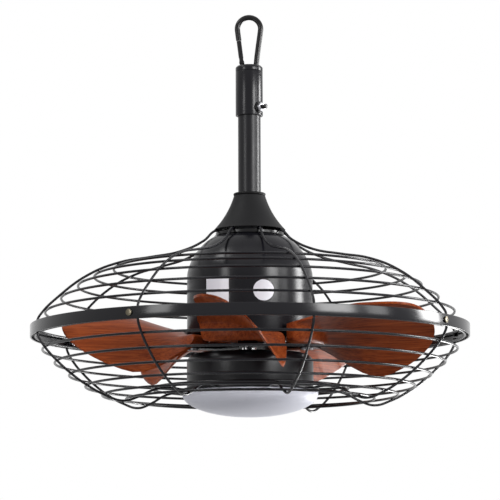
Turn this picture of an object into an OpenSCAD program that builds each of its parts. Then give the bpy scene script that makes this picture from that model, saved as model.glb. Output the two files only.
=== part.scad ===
// Caged outdoor ceiling fan with a light, hung from a snap hook.
// Frame: the origin is the hook's inner top, where it rests on its hanger. +Z is up, -Y is the front.
// Turns about Z are given from the front: 0 faces -Y, 90 faces +X.

/* [Snap hook] */
// Thickness of the hook's rod
hook_d = 7; // [5:0.5:8]
// Inner width of the hook's round top
hook_in_w = 23; // [18:0.5:30]
// Clear height inside the hook, from its saddle to the hanger cap
hook_in_h = 60.1; // [50:0.1:80]
// Distance between the two legs where they enter the cap
hook_leg_gap = 18; // [16:0.2:18.4]
// How deep the legs sit in the cap
hook_leg_set = 6.5; // [4:0.5:7]
// Length of the fixed nose below the round top
nose_len = 13.5; // [6:0.5:16]
// Height of the gate's rivet above the cap
gate_pivot_h = 4.6; // [4.2:0.1:8]
// Thickness of the gate's rod
gate_d = 6; // [4.6:0.2:6.4]
// Thickness of the tongue that carries the gate
tongue_t = 2.4; // [1.6:0.2:3]
// Diameter of the gate's rivet
rivet_d = 2.5; // [2:0.1:3]
// Diameter of the rivet's heads
rivet_head_d = 4.6; // [4:0.2:6]
// Thickness of the rivet's heads
rivet_head_t = 0.8; // [0.5:0.1:1.5]

/* [Hanger sleeve] */
// Outer diameter of the hanger cap and sleeve
sleeve_d = 35; // [33.5:0.5:40]
// Height of the hanger cap
cap_h = 7.7; // [7.5:0.1:16]
// Bevel around the top of the cap
cap_bevel = 2.6; // [0.5:0.1:4]
// Depth of the cap's plug inside the sleeve
cap_plug_h = 8; // [4:0.5:14]
// Length of the sleeve
sleeve_len = 58; // [46:1:90]
// Distance from the sleeve's lower end to its cross bolt
bolt_up = 9.5; // [9:0.5:20]
// Diameter of the sleeve's cross bolt
bolt_d = 6; // [5:0.5:8]
// Direction in which the bolt's threaded end points
bolt_turn = 46; // [0:1:180]
// Free length of the bolt's threaded end beyond its nut
bolt_tail = 6.2; // [1:0.2:8]
// Width across the flats of the bolt's nut
bolt_flats = 11; // [9:0.5:14]
// Height of the bolt's nut
nut_h = 5; // [4:0.2:7]
// Diameter of the bolt's low round head
head_d = 9.4; // [8.6:0.2:14]
// Height of the bolt's head
head_h = 2; // [1.5:0.1:4]
// Outer diameter of the washer under the nut
washer_d = 15; // [12:0.5:18]
// Thickness of the washer
washer_t = 1.6; // [0.8:0.1:2]

/* [Downrod] */
// Outer diameter of the downrod
rod_d = 29; // [26:0.1:30]
// Wall of the downrod
rod_wall = 2; // [1.5:0.1:3]
// Length of the downrod
rod_len = 190; // [150:1:600]

/* [Neck cover] */
// Height of the neck cover
neck_h = 44.5; // [36:0.5:60]
// Outer diameter of the neck cover at its top
neck_top_d = 40; // [34:0.5:46]
// Outer diameter of the neck cover at its bottom
neck_bottom_d = 92; // [87.5:0.5:100]
// Radius of the neck cover's hollow side
neck_curve_r = 110; // [80:1:300]
// Wall of the neck cover
neck_wall = 1.4; // [1:0.1:2]
// Outer diameter of the bead on top of the neck cover
bead_d = 41.4; // [38:0.2:48]
// Height of the bead
bead_h = 3.4; // [2:0.1:6]

/* [Yoke] */
// Outer diameter of the yoke that grips the downrod
yoke_d = 35; // [32:0.5:36]
// Depth of the downrod in the yoke
yoke_grip = 30; // [24:1:36]
// Solid floor of the yoke under the downrod
yoke_floor = 16; // [12:0.5:30]
// Diameter of the yoke's flange
yoke_flange_d = 70; // [66:1:84]
// Thickness of the yoke's flange
yoke_flange_t = 5; // [3:0.5:8]
// Diameter of the cross pin through yoke and downrod
pin_d = 6; // [5:0.5:8]
// Length of the cross pin
pin_len = 41; // [38:0.5:44]
// Diameter of the two set screws
set_screw_d = 5; // [4:0.5:6]

/* [Motor cover] */
// Outer diameter of the motor cover
cover_d = 160.4; // [156:0.4:166]
// Height of the whole motor cover
cover_h = 128; // [122:1:132]
// Height of its domed shoulder
dome_h = 50.6; // [40:0.2:60]
// Fullness of the shoulder: 1 is a cone and 2 is an ellipse
dome_full = 1.55; // [1.4:0.05:1.8]
// Diameter of the flat on top of the cover
cover_flat_d = 82; // [78:1:86]
// Wall of the motor cover
cover_wall = 1.5; // [1:0.1:2.5]
// Width of the rating label, measured around the cover
rating_w = 33; // [20:1:50]
// Height of the rating label
rating_h = 31.5; // [15:0.5:50]
// Direction that the rating label faces
rating_turn = -31; // [-60:1:0]
// Drop from the cover's top to the middle of the rating label
rating_drop = 77.6; // [68:0.2:100]
// Diameter of the round label
round_d = 26.6; // [16:0.2:40]
// Direction that the round label faces
round_turn = 12.5; // [5:0.5:60]
// Drop from the cover's top to the middle of the round label
round_drop = 78; // [68:0.5:100]
// Thickness of both labels
label_t = 0.3; // [0.2:0.05:0.5]

/* [Motor] */
// Diameter of the fixed hollow shaft
shaft_d = 12; // [10:0.5:12]
// Bore of the hollow shaft
shaft_bore = 8; // [7:0.2:8.4]
// Drop from the cover's top to the middle of the stator
stator_drop = 75; // [72:0.5:78]
// Thickness of the rotor's magnet ring
magnet_t = 11.8; // [8:0.1:16]
// Height of the stator's stack of sheets
stator_h = 28; // [20:1:32]
// Height of the windings above and below the stack
winding_h = 12; // [6:0.5:13]
// Air gap between stator and rotor
air_gap = 0.6; // [0.4:0.1:1]
// Room between the rotor and the motor cover's wall
rotor_room = 6.7; // [4.5:0.1:9]
// Wall of the rotor shells
rotor_wall = 3.5; // [2.5:0.5:5]
// Outer diameter of the bearings
bearing_d = 32; // [28:0.5:34]
// Width of the bearings
bearing_w = 10; // [8:0.5:11]
// Length of the control box
control_len = 56; // [40:1:60]
// Depth of the control box
control_deep = 26; // [16:1:28]
// Height of the control box
control_h = 15; // [10:0.5:17]

/* [Flywheel] */
// Diameter of the flywheel's middle disc
flywheel_d = 84; // [76:1:96]
// Reach of the flywheel's arms, from the axis
arm_reach = 91; // [86:0.5:94]
// Width of the flywheel's arms
arm_w = 24; // [18:1:34]
// Thickness of the flywheel
flywheel_t = 4; // [3:0.25:4.5]
// Drop from the cover's lower rim to the flywheel's upper face
flywheel_drop = 14.5; // [13:0.25:15]
// Diameter of the blades' screws
blade_screw_d = 4; // [3:0.5:5]

/* [Blades] */
// Number of blades
blade_count = 5; // [3:1:5]
// Direction in which the first blade points
blade_turn = -2; // [-36:1:36]
// Radius of the blades' tips
blade_tip_r = 244.5; // [238:0.5:256]
// Radius of the blades' inner ends
blade_inner_r = 64; // [62:1:68]
// Radius at which the blade leaves its root block
blade_root_r = 85; // [84:0.5:88]
// Greatest distance from the blade's centre line to its high edge
high_edge_w = 62; // [40:1:64]
// Greatest distance from the blade's centre line to its low edge
low_edge_w = 49; // [40:1:54]
// Share of its width that the blade has where it leaves the root block
root_share = 0.83; // [0.5:0.01:0.9]
// Length in which the blade widens from its root block
flare_len = 28; // [10:1:60]
// Length of the rounded tip along the high edge
tip_len_high = 62; // [30:1:90]
// Length of the rounded tip along the low edge
tip_len_low = 141; // [50:1:142]
// Pitch of the blade at its root, in degrees
root_pitch = 12; // [8:1:20]
// Pitch of the blade at its tip, in degrees
tip_pitch = 42; // [25:0.5:44]
// Length in which the pitch grows from root to tip
twist_len = 108; // [60:1:160]
// Radius of the blade's hollow across its tip
camber_r = 63; // [60:1:300]
// Height of the blade's middle over the flywheel, at the fan's axis
root_up = 13.3; // [11:0.1:16]
// Rise of the blade's centre line from root to tip
blade_rise = 4; // [0:0.5:10]
// Thickness of the blade
blade_t = 3.2; // [2:0.1:4.5]
// Height of the root block
root_block_h = 11; // [8:0.5:12]
// Radius of the root block's outer face
root_block_r = 104; // [94:0.5:108]

/* [Cage] */
// Outer diameter of the hoop
hoop_d = 560; // [540:1:600]
// Height of the hoop's band
hoop_h = 15; // [14:0.5:30]
// Thickness of the hoop's band
hoop_t = 2; // [1:0.25:3]
// Drop from the cover's top to the middle of the hoop
hoop_drop = 123; // [118:1:128]
// Thickness of the ribs' wire
rib_d = 3.2; // [2.5:0.1:4]
// Thickness of the rings' wire
ring_d = 3.2; // [2.5:0.1:4]
// Number of ribs on each guard
rib_count = 8; // [4:1:12]
// Direction of the first rib
rib_turn = -29; // [-45:1:0]
// Number of bolts through the hoop
hoop_bolt_count = 4; // [3:1:4]
// Angle from a rib to the hoop's bolt beside it
hoop_bolt_turn = 2; // [2:0.25:6]
// Diameter of the hoop's bolts
hoop_bolt_d = 4; // [3:0.5:5]
// Diameter of the heads of the hoop's bolts
hoop_head_d = 8.4; // [7:0.2:10]
// Thickness of the heads of the hoop's bolts
hoop_head_t = 2.2; // [1.5:0.1:3]
// Width across the flats of the hoop's nuts
hoop_nut_flats = 7; // [6:0.5:7.5]
// Width of the tabs behind the hoop's bolts
tab_w = 12; // [9:0.5:14]
// Thickness of the tabs
tab_t = 3; // [2.5:0.1:3.4]
// Outer diameter of the upper guard's collar
upper_collar_d = 87; // [84:1:90]
// Thickness of the upper guard's collar
upper_collar_t = 4.3; // [3:0.1:6]
// Outer diameter of the lower guard's collar
lower_collar_d = 176; // [168:1:190]
// Thickness of the lower guard's collar
lower_collar_t = 3; // [2:0.25:4]

/* [Light] */
// Outer diameter of the light pan
pan_d = 161; // [158:0.5:164]
// Height of the light pan
pan_h = 44.5; // [40:0.5:60]
// Radius of the pan's rounded shoulder
pan_round = 11; // [4:0.5:16]
// Wall of the light pan
pan_wall = 1.5; // [1:0.1:2.5]
// Gap from the flywheel to the light pan
pan_gap = 5.5; // [4:0.5:10]
// Width of the ledge inside the pan
ledge_w = 8; // [7:0.5:10]
// Height of the ledge above the pan's lower rim
ledge_up = 10.5; // [9.5:0.5:13]
// Diameter of the light board
board_d = 112; // [80:1:118]
// Number of lamps on the light board
lamp_count = 18; // [6:1:24]
// Length of the light's driver
driver_len = 70; // [40:1:80]
// Depth of the light's driver
driver_deep = 34; // [20:1:38]
// Height of the light's driver
driver_h = 18; // [10:1:20]
// How far the diffuser's edge stands in from the lower collar's edge
diffuser_inset = 1.7; // [0:0.1:5]
// Depth of the diffuser's bowl
diffuser_h = 28.4; // [15:0.2:40]
// Height of the diffuser's straight rim
diffuser_rim = 3.2; // [2.5:0.1:8]
// Wall of the diffuser
diffuser_wall = 2; // [1.5:0.1:3]
// Outer diameter of the diffuser's neck
neck_ring_d = 132; // [126:1:136]
// Reach of the diffuser's three lugs beyond its neck
lug_reach = 3.6; // [2:0.2:4]
// Width of the lugs around the neck, in degrees
lug_span = 16; // [8:1:20]
// Turn that brings the lugs to their notches, in degrees
lug_turn = 28; // [24:1:40]

/* [Fits] */
// Clearance of fixed fits
fit = 0.05; // [0.03:0.01:0.08]
// Clearance of bolts in their holes
hole_play = 0.15; // [0.1:0.05:0.3]
// Clearance of fits that turn
turn_fit = 0.08; // [0.04:0.01:0.1]
// Gap between pieces that move past each other
run_gap = 0.3; // [0.2:0.05:0.5]

/* [Hidden] */
$fn = 96;

// Colours of the finishes
black = [0.09, 0.09, 0.10];
wood = [0.45, 0.17, 0.08];
steel = [0.72, 0.72, 0.74];
white = [0.93, 0.93, 0.95];
copper = [0.72, 0.42, 0.22];
opal = [0.86, 0.86, 0.92];

// Heights down the axis
hook_r = (hook_in_w + hook_d) / 2;
hook_centre_z = hook_d / 2 - hook_r;
cap_top = -hook_in_h;
sleeve_top = cap_top - cap_h;
sleeve_bottom = sleeve_top - sleeve_len;
bolt_z = sleeve_bottom + bolt_up;
rod_top = sleeve_top - cap_plug_h;
rod_bottom = rod_top - rod_len;
cover_top = rod_bottom - yoke_floor;
cover_bottom = cover_top - cover_h;
yoke_top = rod_bottom + yoke_grip;
collar_top = cover_top + upper_collar_t;
neck_bottom = collar_top + rib_d + run_gap;
neck_top = neck_bottom + neck_h;
stator_z = cover_top - stator_drop;
hoop_z = cover_top - hoop_drop;
flywheel_top = cover_bottom - flywheel_drop;
flywheel_bottom = flywheel_top - flywheel_t;
pan_top = flywheel_bottom - pan_gap;
pan_bottom = pan_top - pan_h;
lower_collar_bottom = pan_bottom - lower_collar_t;
ledge_bottom = pan_bottom + ledge_up;

// Radii that others follow
sleeve_bore_r = rod_d / 2 + fit;
hoop_in_r = hoop_d / 2 - hoop_t;
rib_end_r = hoop_in_r - rib_d / 2 - fit;
rib_start_r = (upper_collar_d + rib_d) / 2;
cover_r = cover_d / 2;
rotor_d = cover_d - 2 * (cover_wall + rotor_room);
stator_d = rotor_d - 2 * (rotor_wall + fit + magnet_t + air_gap);

// A disc or ring about the axis, from one height down to another
module ring_plate(r_out, r_in, top, bottom) {
    translate([0, 0, bottom])
        difference() {
            cylinder(r = r_out, h = top - bottom);
            translate([0, 0, -1])
                cylinder(r = r_in, h = top - bottom + 2);
        }
}

// A straight round bar between two points of the XZ plane
module bar_xz(p, q, d) {
    span = q - p;
    translate([p[0], 0, p[1]])
        rotate([0, atan2(span[0], span[1]), 0])
            cylinder(d = d, h = norm(span));
}

// A round bar along the front direction, from one radius to another
module radial_bar(r_from, r_to, d) {
    translate([0, -r_from, 0])
        rotate([90, 0, 0])
            cylinder(d = d, h = r_to - r_from);
}

// Copies placed around the axis
module around(count, first) {
    for (i = [0 : count - 1])
        rotate([0, 0, first + i * 360 / count])
            children();
}

// A smooth curve through points, with a number of steps from each to the next
function spline_point(a, b, c, d, t) =
    0.5 * (2 * b + (c - a) * t + (2 * a - 5 * b + 4 * c - d) * t * t
        + (3 * b - a - 3 * c + d) * t * t * t);

function spline(p, steps) =
    let (q = concat([2 * p[0] - p[1]], p, [2 * p[len(p) - 1] - p[len(p) - 2]]))
    [for (i = [1 : len(p) - 1], k = [0 : steps - 1])
        spline_point(q[i - 1], q[i], q[i + 1], q[i + 2], k / steps), p[len(p) - 1]];

function smooth_step(x) =
    let (s = min(max(x, 0), 1))
    s * s * (3 - 2 * s);

// Snap hook
hook_centre = [0, hook_centre_z];
leg_foot = [hook_leg_gap / 2, cap_top];
leg_reach = leg_foot - hook_centre;
tangent_turn = atan2(leg_reach[1], leg_reach[0]) + acos(hook_r / norm(leg_reach));
right_shoulder = hook_centre + hook_r * [cos(tangent_turn), sin(tangent_turn)];
left_shoulder = [-right_shoulder[0], right_shoulder[1]];
left_foot = [-leg_foot[0], leg_foot[1]];
left_way = (left_foot - left_shoulder) / norm(left_foot - left_shoulder);
nose_end = left_shoulder + nose_len * left_way;
gate_pivot = left_foot - left_way * gate_pivot_h / abs(left_way[1]);
gate_top = nose_end + (run_gap + 0.7) * left_way;
slot_w = tongue_t + 2 * run_gap;
eye_r = gate_d / 2 + 0.2;

hook_arc_steps = 20;
hook_path = concat(
    [leg_foot - [0, hook_leg_set], leg_foot],
    [for (i = [0 : hook_arc_steps])
        let (turn = tangent_turn + (180 - 2 * tangent_turn) * i / hook_arc_steps)
        hook_centre + hook_r * [cos(turn), sin(turn)]],
    [nose_end]);

module hook_frame() {
    color(black)
        rotate([0, 0, 90])
            swept_wire(hook_path, hook_d, 16);
}

module gate_lug() {
    lug_r = eye_r - run_gap;
    color(black)
        difference() {
            union() {
                translate([left_foot[0], 0, cap_top - hook_leg_set])
                    cylinder(d = hook_d, h = hook_leg_set);
                translate([gate_pivot[0], tongue_t / 2, gate_pivot[1]])
                    rotate([90, 0, 0])
                        cylinder(r = lug_r, h = tongue_t);
                translate([left_foot[0] - lug_r, -tongue_t / 2, cap_top - 1])
                    cube([2 * lug_r, tongue_t, gate_pivot_h + 1]);
            }
            translate([gate_pivot[0], hook_d, gate_pivot[1]])
                rotate([90, 0, 0])
                    cylinder(d = rivet_d + 2 * fit, h = 2 * hook_d);
        }
}

module hook_gate() {
    color(black)
        difference() {
            union() {
                bar_xz(gate_pivot, gate_top, gate_d);
                translate([gate_pivot[0], gate_d / 2, gate_pivot[1]])
                    rotate([90, 0, 0])
                        cylinder(r = eye_r, h = gate_d);
            }
            translate([gate_pivot[0] - 2 * gate_d, -slot_w / 2, gate_pivot[1] - gate_d])
                cube([4 * gate_d, slot_w, 2 * gate_d]);
            translate([gate_pivot[0], hook_d, gate_pivot[1]])
                rotate([90, 0, 0])
                    cylinder(d = rivet_d + 2 * turn_fit, h = 2 * hook_d);
        }
}

module gate_rivet() {
    color(steel)
        translate([gate_pivot[0], 0, gate_pivot[1]])
            rotate([90, 0, 0])
                union() {
                    cylinder(d = rivet_d, h = gate_d + 2 * run_gap, center = true);
                    for (side = [-1, 1])
                        translate([0, 0, side * (gate_d / 2 + run_gap + rivet_head_t / 2)])
                            cylinder(d = rivet_head_d, h = rivet_head_t, center = true);
                }
}

// Hanger
module hanger_cap() {
    color(black)
        difference() {
            union() {
                translate([0, 0, sleeve_top])
                    cylinder(d = sleeve_d, h = cap_h - cap_bevel);
                translate([0, 0, cap_top - cap_bevel])
                    cylinder(d1 = sleeve_d, d2 = sleeve_d - 2 * cap_bevel, h = cap_bevel);
                translate([0, 0, rod_top + fit])
                    cylinder(r = sleeve_bore_r - fit, h = cap_plug_h);
            }
            for (side = [-1, 1])
                translate([side * leg_foot[0], 0, cap_top - hook_leg_set - fit])
                    cylinder(d = hook_d + 2 * fit, h = hook_leg_set + 1);
        }
}

module bolt_hole(d) {
    translate([0, 0, bolt_z])
        rotate([0, 0, bolt_turn])
            translate([0, sleeve_d, 0])
                rotate([90, 0, 0])
                    cylinder(d = d, h = 2 * sleeve_d);
}

module hanger_sleeve() {
    color(black)
        difference() {
            ring_plate(sleeve_d / 2, sleeve_bore_r, sleeve_top, sleeve_bottom);
            bolt_hole(bolt_d + 2 * hole_play);
        }
}

washer_seat = sleeve_d / 2 + fit;
nut_seat = washer_seat + washer_t;

module sleeve_bolt() {
    color(black)
        translate([0, 0, bolt_z])
            rotate([0, 0, bolt_turn])
                union() {
                    radial_bar(-washer_seat - fit, nut_seat + nut_h + bolt_tail, bolt_d);
                    radial_bar(-washer_seat - head_h, -washer_seat, head_d);
                }
}

module sleeve_nut() {
    color(steel)
        translate([0, 0, bolt_z])
            rotate([0, 0, bolt_turn])
                difference() {
                    translate([0, -nut_seat - fit, 0])
                        rotate([90, 0, 0])
                            cylinder(d = bolt_flats / cos(30), h = nut_h, $fn = 6);
                    radial_bar(sleeve_d / 2, sleeve_d, bolt_d + 2 * fit);
                }
}

module sleeve_washer() {
    color(black)
        translate([0, 0, bolt_z])
            rotate([0, 0, bolt_turn])
                difference() {
                    radial_bar(washer_seat, washer_seat + washer_t, washer_d);
                    radial_bar(0, sleeve_d, bolt_d + 2 * hole_play);
                }
}

module downrod() {
    color(black)
        difference() {
            ring_plate(rod_d / 2, rod_d / 2 - rod_wall, rod_top, rod_bottom);
            bolt_hole(bolt_d + 2 * hole_play);
            translate([0, 0, pin_z])
                rotate([0, 90, 0])
                    cylinder(d = pin_d + 2 * hole_play, h = 2 * rod_d, center = true);
        }
}

// Neck cover: a hollow arc from its top edge to its lower edge
neck_span = [neck_bottom_d - neck_top_d, -2 * neck_h] / 2;
neck_chord = norm(neck_span);
neck_half_turn = asin(min(neck_chord / (2 * neck_curve_r), 0.9));
neck_arc_centre = [neck_top_d / 2, neck_top] + neck_span / 2
    + neck_curve_r * cos(neck_half_turn) * [-neck_span[1], neck_span[0]] / neck_chord;
neck_arc_start = atan2(neck_top - neck_arc_centre[1], neck_top_d / 2 - neck_arc_centre[0]);
neck_steps = 16;

function neck_arc(inset) =
    [for (i = [0 : neck_steps])
        let (turn = neck_arc_start + 2 * neck_half_turn * i / neck_steps)
        neck_arc_centre + (neck_curve_r + inset) * [cos(turn), sin(turn)]];

function turned_back(p) = [for (i = [len(p) - 1 : -1 : 0]) p[i]];

module neck_cover() {
    color(black)
        intersection() {
            rotate_extrude()
                polygon(concat(neck_arc(0), turned_back(neck_arc(neck_wall))));
            ring_plate(neck_bottom_d, 0, neck_top, neck_bottom);
        }
}

module neck_bead() {
    color(black)
        difference() {
            rotate_extrude()
                polygon(concat(
                    [[rod_d / 2 + hole_play, neck_top + fit],
                        [rod_d / 2 + hole_play, neck_top + fit + bead_h]],
                    [for (turn = [90 : -15 : -90])
                        [bead_d / 2 - bead_h / 2 + cos(turn) * bead_h / 2,
                            neck_top + fit + bead_h / 2 + sin(turn) * bead_h / 2]]));
        }
}

// Yoke
pin_z = rod_bottom + yoke_grip / 2;
set_screw_z = rod_bottom + yoke_grip * 0.78;
screw_ring_r = (yoke_d + yoke_flange_d) / 4 + 1;
collar_screw_d = 4;
collar_screw_turn = 30;

module yoke() {
    color([0.30, 0.30, 0.31])
        difference() {
            union() {
                translate([0, 0, cover_top - cover_wall - yoke_flange_t])
                    cylinder(d = yoke_d, h = yoke_top - cover_top + cover_wall + yoke_flange_t);
                translate([0, 0, cover_top - cover_wall - yoke_flange_t])
                    cylinder(d = yoke_flange_d, h = yoke_flange_t - fit);
            }
            translate([0, 0, rod_bottom - fit])
                cylinder(r = sleeve_bore_r, h = yoke_grip + 1);
            translate([0, 0, cover_top - 2 * yoke_floor])
                cylinder(d = shaft_d + 2 * fit, h = 4 * yoke_floor);
            translate([0, 0, pin_z])
                rotate([0, 90, 0])
                    cylinder(d = pin_d + 2 * fit, h = 2 * yoke_d, center = true);
            translate([0, 0, set_screw_z])
                rotate([90, 0, 0])
                    cylinder(d = set_screw_d + 2 * fit, h = 2 * yoke_d, center = true);
            around(3, collar_screw_turn)
                translate([0, -screw_ring_r, cover_top - 2 * yoke_floor])
                    cylinder(d = collar_screw_d + 2 * fit, h = 4 * yoke_floor);
        }
}

module yoke_pin() {
    color(steel)
        translate([0, 0, pin_z])
            rotate([0, 90, 0])
                cylinder(d = pin_d, h = pin_len, center = true);
}

module yoke_set_screws() {
    color(steel)
        translate([0, 0, set_screw_z])
            around(2, 0)
                radial_bar(rod_d / 2 + 0.1, yoke_d / 2 + 1, set_screw_d);
}

// Motor cover: a flat top, a full shoulder and a straight side
dome_steps = 14;

function dome_profile(inset) =
    let (flat_r = cover_flat_d / 2, reach = cover_r - inset - flat_r, drop = dome_h - inset)
    [for (i = [0 : dome_steps])
        let (turn = 90 * (1 - i / dome_steps))
        [flat_r + reach * pow(cos(turn), 2 / dome_full),
            cover_top - dome_h + drop * pow(sin(turn), 2 / dome_full)]];

module motor_cover() {
    color(black)
        difference() {
            rotate_extrude()
                polygon(concat([[yoke_d / 2 + 0.3, cover_top]], dome_profile(0),
                    [[cover_r, cover_bottom], [cover_r - cover_wall, cover_bottom]],
                    turned_back(dome_profile(cover_wall)),
                    [[yoke_d / 2 + 0.3, cover_top - cover_wall]]));
            around(3, collar_screw_turn)
                translate([0, -screw_ring_r, cover_top - 2 * cover_wall])
                    cylinder(d = collar_screw_d + 2 * hole_play, h = 4 * cover_wall);
        }
}

module rating_label() {
    span = rating_w / cover_r * 180 / PI;
    color(white)
        rotate([0, 0, rating_turn - 90 - span / 2])
            rotate_extrude(angle = span)
                translate([cover_r + fit, cover_top - rating_drop - rating_h / 2])
                    square([label_t, rating_h]);
}

module round_label() {
    color(white)
        intersection() {
            ring_plate(cover_r + fit + label_t, cover_r + fit, cover_top - round_drop + round_d,
                cover_top - round_drop - round_d);
            translate([0, 0, cover_top - round_drop])
                rotate([0, 0, round_turn])
                    radial_bar(cover_r / 2, cover_r * 1.2, round_d);
        }
}

control_top = cover_top - cover_wall - yoke_flange_t - fit;

module control_box() {
    color(white)
        translate([-control_len / 2, shaft_d / 2 + 2, control_top - control_h])
            cube([control_len, control_deep, control_h]);
}

// Motor
rotor_wall_top = stator_z + stator_h / 2 + winding_h + 3;
rotor_wall_bottom = stator_z - stator_h / 2 - winding_h - 3;
shaft_bottom = pan_top - pan_wall - 9;
boss_wall = 4;

module motor_shaft() {
    color(steel)
        ring_plate(shaft_d / 2, shaft_bore / 2, rod_bottom - 2, shaft_bottom);
}

lead_d = 2.4;
lead_down = 6;
lead_up = 4;

module light_leads() {
    color(white)
        around(3, 0)
            translate([0, -shaft_bore / 2 + lead_d / 2 + 0.1, shaft_bottom - lead_down])
                cylinder(d = lead_d, h = rod_bottom - shaft_bottom + lead_down + lead_up);
}

module stator_core() {
    color([0.45, 0.45, 0.47])
        ring_plate(stator_d / 2, shaft_d / 2 + fit, stator_z + stator_h / 2, stator_z - stator_h / 2);
}

winding_r = stator_d / 2 - 6;
winding_deep = 26;

module stator_windings() {
    color(copper)
        for (side = [-1, 1])
            translate([0, 0, side * (stator_h + winding_h + fit) / 2])
                ring_plate(winding_r, winding_r - winding_deep, stator_z + winding_h / 2,
                    stator_z - winding_h / 2);
}

module bearing(middle_z) {
    color(steel)
        ring_plate(bearing_d / 2, shaft_d / 2 + fit, middle_z + bearing_w / 2, middle_z - bearing_w / 2);
}

upper_bearing_z = rotor_wall_top + rotor_wall + bearing_w / 2 - 1;
lower_bearing_z = rotor_wall_bottom - rotor_wall - bearing_w / 2 + 1;

module upper_bearing() {
    bearing(upper_bearing_z);
}

module lower_bearing() {
    bearing(lower_bearing_z);
}

// Half a rotor shell, drawn as the upper one with its open rim at height 0
module rotor_shell(inner_h) {
    boss_top = inner_h + rotor_wall + bearing_w;
    difference() {
        union() {
            cylinder(d = rotor_d, h = inner_h + rotor_wall);
            cylinder(r = bearing_d / 2 + boss_wall, h = boss_top);
        }
        translate([0, 0, -1])
            cylinder(d = rotor_d - 2 * rotor_wall, h = inner_h + 1);
        translate([0, 0, -1])
            cylinder(d = bearing_d + 2 * fit, h = boss_top + 2);
    }
}

module rotor_upper_shell() {
    color([0.55, 0.55, 0.57])
        translate([0, 0, stator_z + fit / 2])
            rotor_shell(rotor_wall_top - stator_z);
}

module rotor_lower_shell() {
    color([0.55, 0.55, 0.57])
        translate([0, 0, stator_z - fit / 2])
            mirror([0, 0, 1])
                rotor_shell(stator_z - rotor_wall_bottom);
}

module rotor_cage() {
    color([0.60, 0.60, 0.62])
        ring_plate(rotor_d / 2 - rotor_wall - fit, stator_d / 2 + air_gap, stator_z + stator_h / 2,
            stator_z - stator_h / 2);
}

// Flywheel: a hub pressed against the lower rotor shell, a disc and an arm for each blade
flywheel_hub_top = rotor_wall_bottom - rotor_wall - fit;
flywheel_hub_r = bearing_d / 2 + boss_wall + fit;
screw_gap = 10;
screw_rows = [arm_reach - 9 - screw_gap, arm_reach - 9];

module flywheel() {
    color(black)
        difference() {
            union() {
                translate([0, 0, flywheel_bottom])
                    cylinder(r = flywheel_hub_r + boss_wall, h = flywheel_hub_top - flywheel_bottom);
                translate([0, 0, flywheel_bottom])
                    cylinder(d = flywheel_d, h = flywheel_t);
                around(blade_count, blade_turn)
                    translate([-arm_w / 2, -arm_reach, flywheel_bottom])
                        cube([arm_w, arm_reach - flywheel_d / 2 + arm_w / 2, flywheel_t]);
            }
            translate([0, 0, flywheel_bottom - 1])
                cylinder(r = flywheel_hub_r, h = flywheel_hub_top - flywheel_bottom + 2);
            around(blade_count, blade_turn)
                for (r = screw_rows)
                    translate([0, -r, flywheel_bottom - 1])
                        cylinder(d = blade_screw_d + 2 * hole_play, h = flywheel_t + 2);
        }
}

screw_bite = 5;

module blade_screws() {
    color(steel)
        around(blade_count, blade_turn)
            for (r = screw_rows)
                translate([0, -r, flywheel_bottom])
                    union() {
                        cylinder(d = blade_screw_d, h = flywheel_t + screw_bite);
                        translate([0, 0, -1.8])
                            cylinder(d = blade_screw_d * 1.9, h = 1.8 - fit);
                    }
}

// Blade: a sheet between two height fields over its outline, thickened into a block at its root.
// x runs from the high edge to the low edge, and u runs out along the blade. The rows across the
// blade are arcs about the axis, and s is an arc's radius.
block_bottom = flywheel_top + fit;
block_top = block_bottom + root_block_h;
root_z = flywheel_top + root_up;
inner_share = 0.45;
block_edge = 9;
across_steps = 14;
block_rows = [0, 0.5, 0.93, 1];
outer_rows = [0.06, 0.09, 0.12, 0.17, 0.25, 0.35, 0.46, 0.57, 0.68, 0.79, 0.9, 1];
row_count = len(block_rows) + len(outer_rows);

function pitched(u) = smooth_step((u - blade_inner_r) / twist_len);

function sheet_z(x, u) =
    let (b = pitched(u))
    root_z + blade_rise * b
        - x * (tan(root_pitch) + (tan(tip_pitch) - tan(root_pitch)) * b)
        - x * x * (0.15 + 0.85 * b) / (2 * camber_r);

// Share of the block at a radius: 1 inside it, falling to 0 past its rounded outer face
function block_share(s) = 1 - smooth_step((s - root_block_r + block_edge) / block_edge);

function blade_top(x, u) =
    let (s = norm([x, u]), sheet = sheet_z(x, u) + blade_t / 2)
    s < blade_root_r - 0.01 ? block_top : sheet + block_share(s) * max(block_top - sheet, 0);

function blade_bottom(x, u) =
    let (s = norm([x, u]), sheet = sheet_z(x, u) - blade_t / 2)
    s < blade_root_r - 0.01 ? block_bottom
        : sheet - block_share(s) * max(sheet - block_bottom, 0);

// Place on the tip's outline at a share across the blade, -1 at the high edge and 1 at the low edge
function edge_w(c) = c < 0 ? high_edge_w * c : low_edge_w * c;

function tip_spot(c) =
    let (len = c < 0 ? tip_len_high : tip_len_low)
    [edge_w(c), blade_tip_r - len * (1 - sqrt(max(1 - c * c, 0)))];

// Share of its full width that the blade has at a radius
function width_share(s) =
    s < blade_root_r
        ? inner_share + (root_share - inner_share) * (s - blade_inner_r) / (blade_root_r - blade_inner_r)
        : root_share + (1 - root_share) * sin(90 * min((s - blade_root_r) / flare_len, 1));

function row_radius(i, c) =
    i < len(block_rows) ? blade_inner_r + (blade_root_r - blade_inner_r) * block_rows[i]
        : blade_root_r + (norm(tip_spot(c)) - blade_root_r) * outer_rows[i - len(block_rows)];

function blade_spot(i, c) =
    let (s = row_radius(i, c), x = edge_w(c) * width_share(s))
    [x, sqrt(s * s - x * x)];

// Shares across the blade, closer together near both edges
function share_across(j) = sin(90 * (2 * j / across_steps - 1));

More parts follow.
